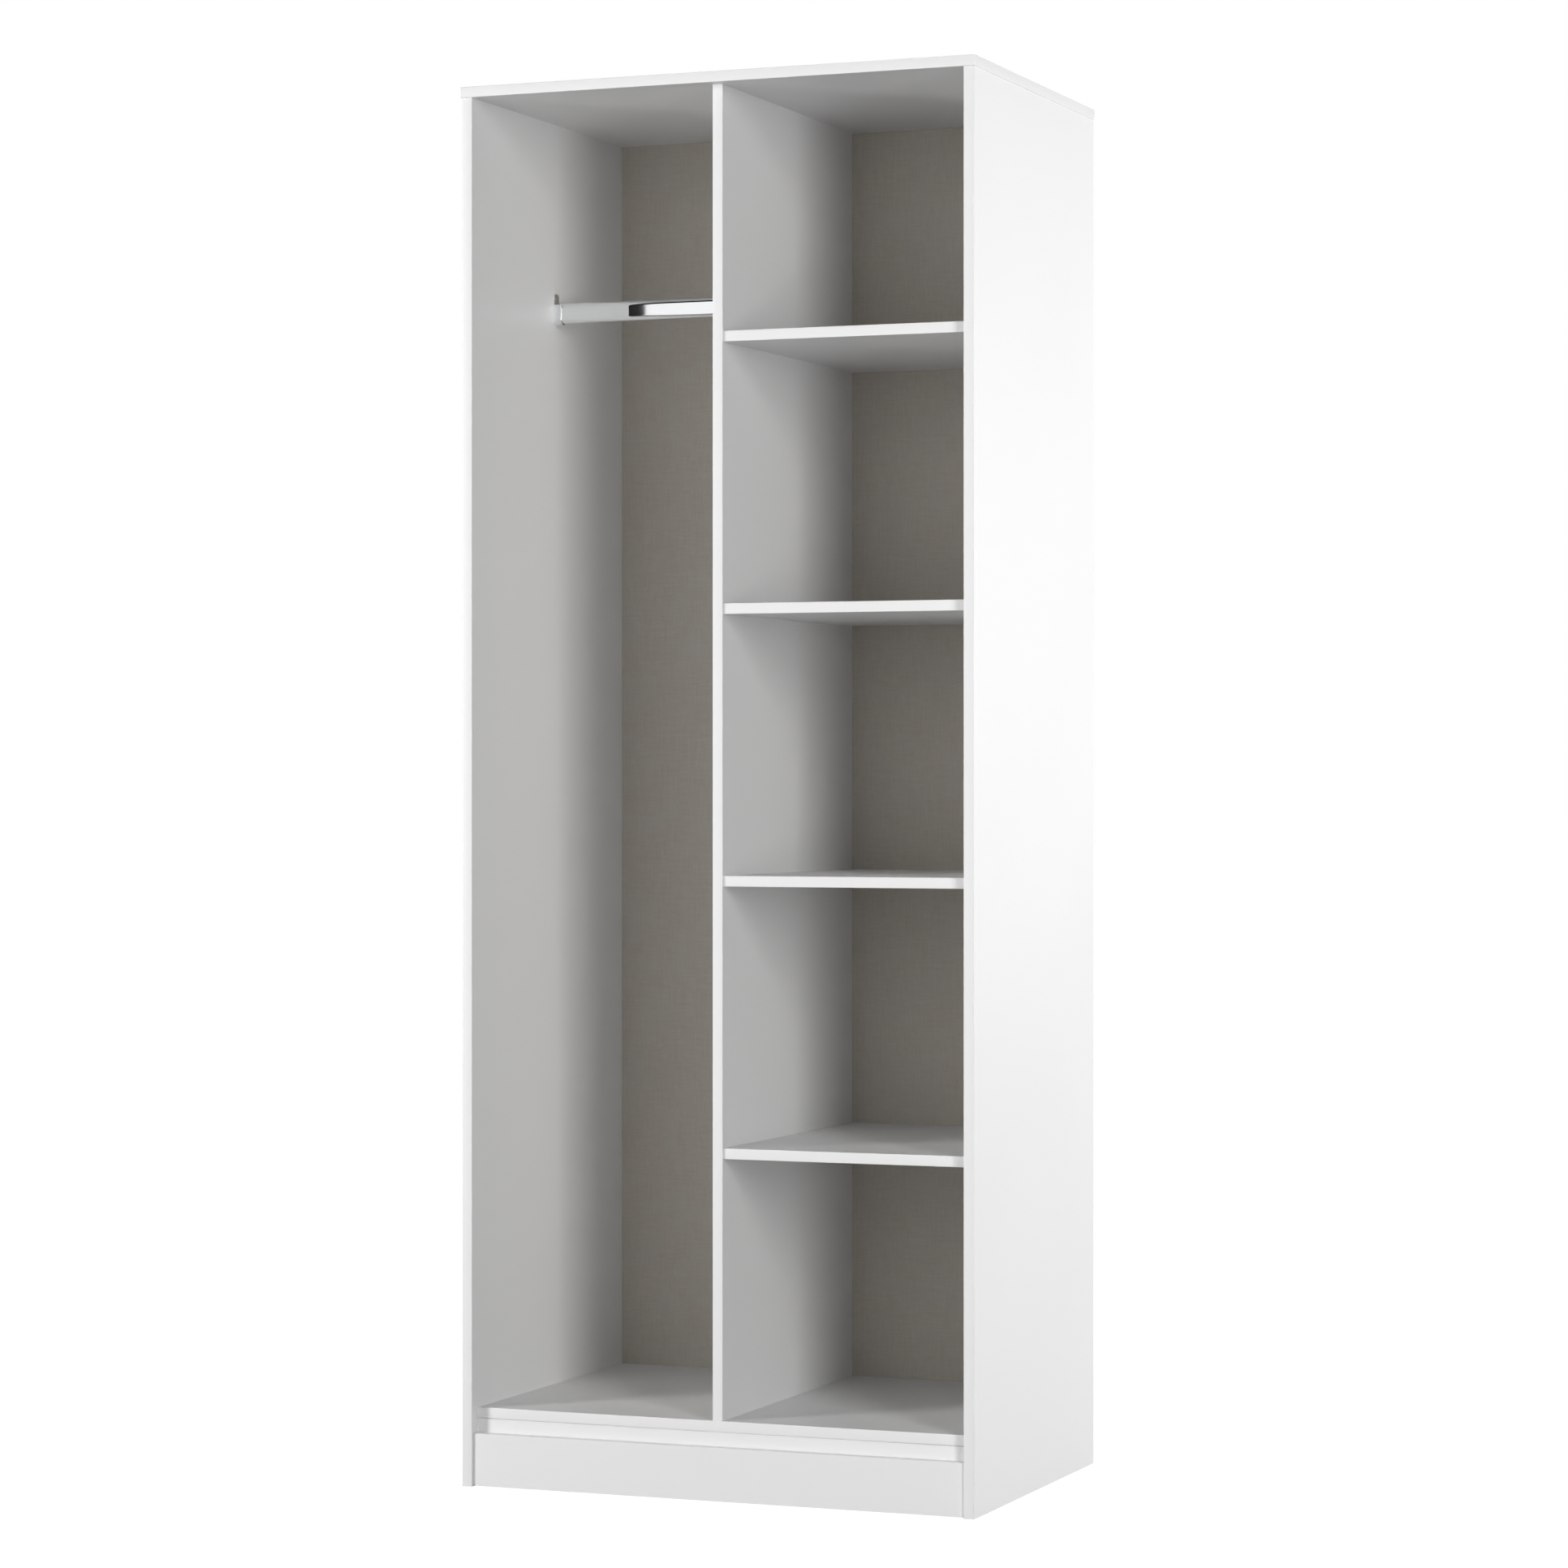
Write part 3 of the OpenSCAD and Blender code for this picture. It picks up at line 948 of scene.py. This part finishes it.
class ShapeGraph(Graph):
    """A Geometry Nodes tree that copies one turned shape to marked places."""

    AIM = "aim"

    def __init__(self, name: str, sizes: Mapping[str, float], seed: int) -> None:
        """Makes the tree and its inputs.

        Args:
            name: the tree's name.
            sizes: a named input for each size, in metres or as a count.
            seed: what the random turns start from.
        """
        super().__init__(bpy.data.node_groups.new(name, "GeometryNodeTree"))
        self.values: dict[str, float | int] = {}
        self.tree.interface.new_socket("Geometry", in_out="INPUT", socket_type="NodeSocketGeometry")
        for label, value in (*sizes.items(), ("Seed", seed)):
            kind = "NodeSocketInt" if isinstance(value, int) else "NodeSocketFloat"
            item = self.tree.interface.new_socket(label, in_out="INPUT", socket_type=kind)
            self.values[item.identifier] = value
        self.tree.interface.new_socket("Geometry", in_out="OUTPUT", socket_type="NodeSocketGeometry")
        self.entry = self.tree.nodes.new("NodeGroupInput")

    def size(self, label: str) -> Link:
        """The named input of the tree."""
        return Link(self, socket_named(self.entry.outputs, label))

    def _pick(self, which: Link, choices: Sequence[Plug]) -> Link:
        """Takes one of some numbers by its place."""
        return self.make("GeometryNodeIndexSwitch", "Output", {"data_type": "FLOAT", "choices": len(choices)},
                         {0: which, **{i + 1: choice for i, choice in enumerate(choices)}})

    def turned(self, rings: Sequence[tuple[Plug, Plug]], segments: int, flutes: int = 0,
               flute_depth: float = 0.0) -> Link:
        """A closed solid turned round Z.

        Args:
            rings: (radius, height) from one end to the other.
            segments: corners round each ring.
            flutes: grooves along the solid.
            flute_depth: how deep they are, as a share of the radius.

        Returns:
            The solid.
        """
        last = len(rings) - 1
        blank = self.make("GeometryNodeMeshCylinder", "Mesh", {"fill_type": "NGON"},
                          {"Vertices": segments, "Side Segments": last, "Radius": 1.0, "Depth": float(last)})
        place = self.make("GeometryNodeInputPosition", "Position")
        x = self.make("ShaderNodeSeparateXYZ", "X", None, {"Vector": place})
        y, z = self.sibling(x, "Y"), self.sibling(x, "Z")
        ring = self.math("ROUND", z + last / 2)
        radius = self._pick(ring, [r for r, _ in rings])
        height = self._pick(ring, [h for _, h in rings])
        if flutes:
            groove = self.math("COSINE", self.math("ARCTAN2", y, x) * flutes) * 0.5 + 0.5
            radius = radius * (1 - groove * flute_depth)
        moved = self.make("ShaderNodeCombineXYZ", "Vector", None,
                          {"X": x * radius, "Y": y * radius, "Z": height})
        return self.make("GeometryNodeSetPosition", "Geometry", None, {"Geometry": blank, "Position": moved})

    def cut(self, solid: Link, cutters: list[Link]) -> Link:
        """Takes the cutters out of a solid."""
        return self.make("GeometryNodeMeshBoolean", "Mesh", {"operation": "DIFFERENCE", "solver": "EXACT"},
                         {"Mesh 1": solid, "Mesh 2": cutters})

    def block(self, x: Plug, y: Plug, z: Plug) -> Link:
        """A box round the origin."""
        size = self.make("ShaderNodeCombineXYZ", "Vector", None, {"X": x, "Y": y, "Z": z})
        return self.make("GeometryNodeMeshCube", "Mesh", None, {"Size": size})

    def scatter(self, shape: Link, crisp: float,
                materials: Sequence[tuple[bpy.types.Material, float]]) -> None:
        """Copies the shape to every marked place, each turned at random, and ends the tree.

        Args:
            shape: the shape, which starts at the origin and runs along +Z.
            crisp: edges sharper than this many degrees stay crisp.
            materials: each finish, and the height that it starts at.
        """
        way = self.make("GeometryNodeInputNamedAttribute", "Attribute", {"data_type": "FLOAT_VECTOR"},
                        {"Name": self.AIM})
        aimed = self.make("FunctionNodeAlignRotationToVector", "Rotation", {"axis": "Z"}, {"Vector": way})
        roll = self.make("FunctionNodeRandomValue", "Value_001", {"data_type": "FLOAT"},
                         {"Min_001": 0.0, "Max_001": math.tau, "Seed": self.size("Seed")})
        spin = self.make("ShaderNodeCombineXYZ", "Vector", None, {"Z": roll})
        turn = self.make("FunctionNodeEulerToRotation", "Rotation", None, {"Euler": spin})
        turned = self.make("FunctionNodeRotateRotation", "Rotation", {"rotation_space": "LOCAL"},
                           {"Rotation": aimed, "Rotate By": turn})
        copies = self.make("GeometryNodeInstanceOnPoints", "Instances", None,
                           {"Points": self.size("Geometry"), "Instance": shape, "Rotation": turned})
        solid = self.make("GeometryNodeRealizeInstances", "Geometry", None, {"Geometry": copies})
        sharp = self.make("GeometryNodeInputMeshEdgeAngle", "Unsigned Angle") > math.radians(crisp)
        solid = self.make("GeometryNodeSetShadeSmooth", "Geometry", {"domain": "EDGE"},
                          {"Geometry": solid, "Selection": sharp, "Shade Smooth": False})
        height = self.make("ShaderNodeSeparateXYZ", "Z", None,
                           {"Vector": self.make("GeometryNodeInputPosition", "Position")})
        for material, start in materials:
            solid = self.make("GeometryNodeSetMaterial", "Geometry", None,
                              {"Geometry": solid, "Selection": height > start, "Material": material})
        self.make("NodeGroupOutput", "", None, {"Geometry": solid})

    def bake(self, name: str, places: Sequence[Placement]) -> bpy.types.Object:
        """Runs the tree and keeps its result as a plain mesh.

        Args:
            name: the piece's name.
            places: where the copies go.

        Returns:
            The piece, at the origin.
        """
        marks = bpy.data.meshes.new(f"{name}_marks")
        marks.from_pydata([p.start for p in places], [], [])
        aim = marks.attributes.new(self.AIM, "FLOAT_VECTOR", "POINT")
        aim.data.foreach_set("vector", [c for p in places for c in p.way])
        carrier = bpy.data.objects.new(f"{name}_carrier", marks)
        bpy.context.scene.collection.objects.link(carrier)
        modifier = carrier.modifiers.new("fixings", "NODES")
        modifier.node_group = self.tree
        for identifier, value in self.values.items():
            modifier[identifier] = value
        graph = bpy.context.evaluated_depsgraph_get()
        made = bpy.data.objects.new(name, bpy.data.meshes.new_from_object(carrier.evaluated_get(graph)))
        while made.data.materials[0] is None:
            made.data.materials.pop(index=0)
        bpy.context.scene.collection.objects.link(made)
        bpy.data.objects.remove(carrier)
        return made


@dataclass
class Fixing:
    """A group of identical fixings that stands for one frame node."""

    node: str
    slot: str
    finish: Finish
    segments: int = 24
    crisp: float = 35.0
    seed: int = 7

    def sizes(self, one: Placement) -> dict[str, float | int]:
        """The named sizes, from one of the frame's own solids."""
        return {"Length": one.length, "Start Radius": one.start_radius}

    def shape(self, graph: ShapeGraph) -> Link:
        """Makes one fixing, from the origin along +Z."""
        raise NotImplementedError

    def materials(self) -> list[tuple[bpy.types.Material, float]]:
        """Each finish, and the height that it starts at."""
        return [(coat(self.finish), -1.0)]

    def build(self) -> None:
        """Makes the group."""
        places = placements(self.node)
        graph = ShapeGraph(f"{self.node}_tree", self.sizes(places[0]), self.seed)
        graph.scatter(self.shape(graph), self.crisp, self.materials())
        settle(graph.bake(f"{self.node}_made", places), Body.CARCASS, self.slot, self.node)


@dataclass
class Dowels(Fixing):
    """Fluted beech dowels with chamfered ends."""

    radius: float = 4 * MM
    flutes: int = 12
    flute_depth: float = 0.07

    def sizes(self, one: Placement) -> dict[str, float | int]:
        """The named sizes: the length, the end's radius and the radius between the chamfers."""
        return {**super().sizes(one), "Radius": self.radius}

    def shape(self, graph: ShapeGraph) -> Link:
        """Makes one dowel.

        Args:
            graph: the tree.

        Returns:
            The dowel.
        """
        end, radius, length = graph.size("Start Radius"), graph.size("Radius"), graph.size("Length")
        chamfer = radius - end
        rings = [(end, 0.0), (radius, chamfer), (radius, length - chamfer), (end, length)]
        return graph.turned(rings, self.segments, self.flutes, self.flute_depth)


@dataclass
class Screws(Fixing):
    """Countersunk screws with a cross recess."""

    core: float = 1.2 * MM
    crest: float = 1.72 * MM
    neck: float = 1.6 * MM
    head: float = 2.0 * MM
    rim: float = 0.08 * MM
    pitch: float = 1.4 * MM
    plain: float = 1.2 * MM
    tip: float = 2.4 * MM
    recess: tuple[float, float, float] = (3.8 * MM, 0.8 * MM, 2.4 * MM)
    segments: int = 20

    def shape(self, graph: ShapeGraph) -> Link:
        """Makes one screw.

        Args:
            graph: the tree.

        Returns:
            The screw.
        """
        head, length = graph.size("Start Radius"), graph.size("Length")
        rings: list[tuple[Plug, Plug]] = [(head - self.rim, 0.0), (head - self.rim / 2, self.rim / 2),
                                          (self.neck, self.head), (self.core, self.head + self.plain)]
        threaded = placements(self.node)[0].length - self.head - self.plain - self.tip
        turns = int(threaded / self.pitch)
        for turn in range(turns):
            start = self.head + self.plain + turn * threaded / turns
            rings.append((self.crest, start + self.pitch * 0.4))
            rings.append((self.core, start + self.pitch * 0.8))
        rings += [(self.core * 0.8, length - self.tip * 0.6), (self.core * 0.15, length)]
        long, thin, deep = self.recess
        return graph.cut(graph.turned(rings, self.segments),
                         [graph.block(long, thin, deep), graph.block(thin, long, deep)])


@dataclass
class PanelPins(Fixing):
    """Round-headed pins that hold the back panel."""

    shank: float = 0.7 * MM
    head: float = 0.6 * MM
    segments: int = 16

    def shape(self, graph: ShapeGraph) -> Link:
        """Makes one pin.

        Args:
            graph: the tree.

        Returns:
            The pin.
        """
        radius, length = graph.size("Start Radius"), graph.size("Length")
        head = [(radius * 0.8, 0.0), (radius * 0.96, self.head * 0.2), (radius, self.head * 0.5),
                (radius, self.head)]
        shank = [(self.shank, self.head), (self.shank, length - 2 * self.shank), (self.shank * 0.2, length)]
        return graph.turned(head + shank, self.segments)


@dataclass
class FootGlides(Fixing):
    """Plastic glides, each on a steel nail."""

    flare: float = 0.75 * MM
    plate: float = 1.5 * MM
    nail: float = 1.0 * MM
    segments: int = 40

    def shape(self, graph: ShapeGraph) -> Link:
        """Makes one glide.

        Args:
            graph: the tree.

        Returns:
            The glide.
        """
        foot, length = graph.size("Start Radius"), graph.size("Length")
        full = foot + self.flare
        plate = [(foot, 0.0), (foot + self.flare * 0.6, self.plate * 0.2), (full, self.plate * 0.5),
                 (full, self.plate * 0.9), (full - self.plate * 0.1, self.plate)]
        nail = [(self.nail, self.plate), (self.nail, length - 2 * self.nail), (self.nail * 0.2, length)]
        return graph.turned(plate + nail, self.segments)

    def materials(self) -> list[tuple[bpy.types.Material, float]]:
        """Plastic for the plate, and steel from the plate upwards."""
        return [*super().materials(), (coat(PIN_STEEL), self.plate)]


@dataclass
class Fixings:
    """Every dowel, screw, pin and glide, and the glued corner blocks."""

    beech: WoodFinish = WoodFinish("turned_beech", Axis.X, (0.60, 0.42, 0.25), (0.47, 0.30, 0.17))
    pine: WoodFinish = WoodFinish("sawn_pine", Axis.Z, (0.72, 0.53, 0.31), (0.55, 0.34, 0.16))

    def build(self) -> None:
        """Makes them all."""
        groups = [Dowels(f"{where}_dowels", "dowel_beech", self.beech)
                  for where in ("top_panel", "bottom_panel", "divider", "shelf", "base_rail")]
        groups += [Screws("socket_screws", "screw_steel", ZINC), Screws("plinth_screws", "screw_steel", ZINC),
                   PanelPins("back_panel_pins", "screw_steel", PIN_STEEL),
                   FootGlides("foot_glides", "glide_plastic", MouldedPlasticFinish())]
        for group in groups:
            group.build()
        dress("corner_blocks", coat(self.pine))


# ---- stage ----


@dataclass(frozen=True)
class Softbox:
    """A large soft studio light."""

    name: str
    place: Vector
    aim: Vector
    width: float
    height: float
    power: float

    def build(self) -> None:
        """Puts the light in the studio."""
        data = bpy.data.lights.new(self.name, "AREA")
        data.shape = "RECTANGLE"
        data.size, data.size_y, data.energy = self.width, self.height, self.power
        light = bpy.data.objects.new(self.name, data)
        light.location = self.place
        light.rotation_euler = (self.aim - self.place).to_track_quat("-Z", "Y").to_euler()
        light.visible_camera = False
        bpy.context.scene.collection.objects.link(light)


@dataclass
class Studio:
    """The pale floor, the lights and the camera."""

    floor_reach: float = 60.0
    floor_gap: float = 0.2 * MM
    floor_shade: Colour = (0.30, 0.30, 0.30)
    floor_glow: float = 1.16
    floor_whiteness: float = 0.9
    rear_glow: float = 0.2
    even_glow: float = 0.02
    aim: Vector = field(default_factory=lambda: Vector((0.0, -0.2, 1.0)))
    eye: Vector = field(default_factory=lambda: Vector((2.3292, -5.8542, 0.993)))
    bearing: float = 21.68
    lens: float = 101.1
    sensor: float = 36.0
    sight: float = 200.0
    lift: float = -0.00155

    def build(self) -> None:
        """Sets up the studio."""
        self._floor()
        self._surround()
        self._camera()
        for light in self.lights():
            light.build()
        bpy.context.scene.view_settings.view_transform = "Standard"

    def around(self, bearing: float, rise: float, distance: float) -> Vector:
        """A place round the wardrobe.

        Args:
            bearing: degrees to the right of straight in front.
            rise: degrees above the middle of the wardrobe.
            distance: metres from it.

        Returns:
            The place.
        """
        turn, tilt = math.radians(bearing), math.radians(rise)
        way = Vector((math.sin(turn) * math.cos(tilt), -math.cos(turn) * math.cos(tilt), math.sin(tilt)))
        return self.aim + way * distance

    def lights(self) -> list[Softbox]:
        """The softboxes: two beside the open front, a wide one before it, two behind and one above."""
        return [
            Softbox("right_softbox", self.around(46.5, 9.0, 4.6), self.aim, 1.1, 3.4, 126.0),
            Softbox("left_softbox", self.around(-46.0, 6.0, 6.0), self.aim, 1.3, 3.4, 272.0),
            Softbox("front_softbox", Vector((-0.45, -4.5, 1.2)), self.aim, 3.3, 3.2, 33.0),
            Softbox("rear_right_softbox", Vector((3.2, 2.0, 1.35)), self.aim, 2.0, 1.6, 122.0),
            Softbox("rear_left_softbox", Vector((-3.2, 2.0, 1.35)), self.aim, 2.0, 1.6, 75.0),
            Softbox("overhead_softbox", Vector((0.0, 0.7, 4.2)), Vector((0.0, 0.1, 2.0)), 1.4, 1.0, 45.0),
        ]

    def _floor(self) -> None:
        """Lays the pale floor, which the camera sees as white and every other ray as grey."""
        graph = ShaderGraph("pale_floor")
        paint = graph.make("ShaderNodeBsdfDiffuse", "BSDF", None, {"Color": (*self.floor_shade, 1.0)})
        glow = graph.make("ShaderNodeEmission", "Emission", None, {"Strength": self.floor_glow})
        seen = graph.make("ShaderNodeLightPath", "Is Camera Ray")
        shader = graph.make("ShaderNodeMixShader", "Shader", None,
                            {0: seen * self.floor_whiteness, 1: paint, 2: glow})
        graph.make("ShaderNodeOutputMaterial", "", None, {"Surface": shader})
        mesh = bmesh.new()
        bmesh.ops.create_grid(mesh, x_segments=1, y_segments=1, size=self.floor_reach,
                              matrix=Matrix.Translation((0.0, 0.0, -self.floor_gap)))
        piece_from("studio_floor", mesh, graph.material)

    def _surround(self) -> None:
        """Fills the studio with faint light that is stronger from behind, and a backdrop that looks white."""
        world = bpy.data.worlds.new("studio")
        world.use_nodes = True
        graph = Graph(world.node_tree)
        way = graph.make("ShaderNodeTexCoord", "Generated")
        back = graph.make("ShaderNodeSeparateXYZ", "Y", None, {"Vector": way})
        rear = back.ramp(0.0, 1.0, 0.0, self.rear_glow)
        seen = graph.make("ShaderNodeLightPath", "Is Camera Ray")
        strength = seen + (1 - seen) * (rear + self.even_glow)
        light = graph.make("ShaderNodeBackground", "Background", None,
                           {"Color": (1.0, 1.0, 1.0, 1.0), "Strength": strength})
        graph.make("ShaderNodeOutputWorld", "", None, {"Surface": light})
        bpy.context.scene.world = world

    def _camera(self) -> None:
        """Places the camera."""
        data = bpy.data.cameras.new("camera")
        data.lens, data.sensor_width, data.shift_y = self.lens, self.sensor, self.lift
        data.clip_end = self.sight
        camera = bpy.data.objects.new("camera", data)
        camera.location = self.eye
        camera.rotation_euler = (math.radians(90.0), 0.0, math.radians(self.bearing))
        bpy.context.scene.collection.objects.link(camera)
        bpy.context.scene.camera = camera


def main() -> None:
    """Builds the wardrobe's looks and the studio."""
    logging.basicConfig(level=logging.INFO, format="%(name)s: %(message)s")
    Boards().build()
    dress("back_panel", coat(LinenBackFinish()))
    HangingRail().build()
    Fixings().build()
    Studio().build()


if __name__ == "__main__":
    main()
